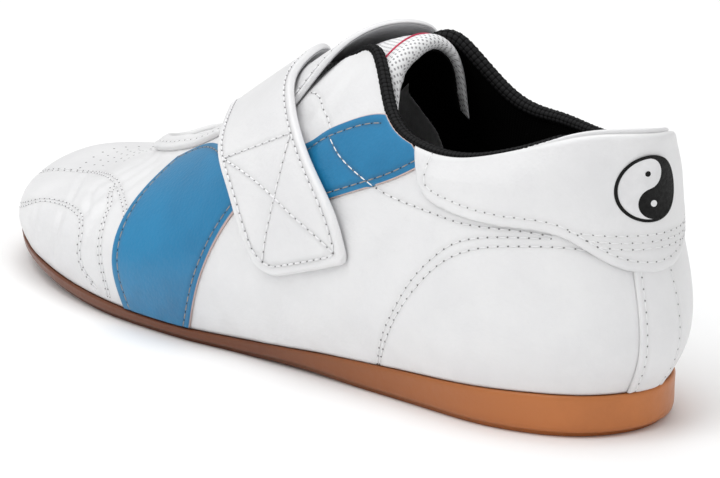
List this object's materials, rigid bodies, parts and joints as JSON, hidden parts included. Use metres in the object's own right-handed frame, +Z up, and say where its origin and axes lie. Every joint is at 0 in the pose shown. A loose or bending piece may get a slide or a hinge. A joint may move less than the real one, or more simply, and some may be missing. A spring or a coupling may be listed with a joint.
{
  "type": "taekwondo shoe",
  "caption": "Low white leather martial-arts shoe with blue side panels, a padded heel collar, an instep strap and a thin gum sole; one left shoe, open at the collar.",
  "frame": {"origin": "on the floor, under the middle of the shoe's bounding box", "axes": "+X towards the heel, -X towards the toe, -Y towards the outer side of the foot, +Z up"},
  "size_m": [0.271, 0.095, 0.0931],
  "materials": {
    "white_leather": "smooth semi-gloss",
    "blue_leather": "smooth semi-gloss",
    "gum_rubber": "satin gum rubber",
    "black_lining": "matte knit",
    "white_mesh": "matte mesh"
  },
  "bodies": {
    "root": {"outsole": "gum_rubber", "insole": "black_lining", "upper": "white_leather", "tongue": "white_mesh", "heel_cuff": "white_leather", "backstay": "white_leather", "eyestay": "white_leather", "saddle_outer": "blue_leather", "facing_outer": "blue_leather", "saddle_inner": "blue_leather", "facing_inner": "blue_leather", "instep_band": "white_leather", "strap": "white_leather"}
  },
  "joints": []
}
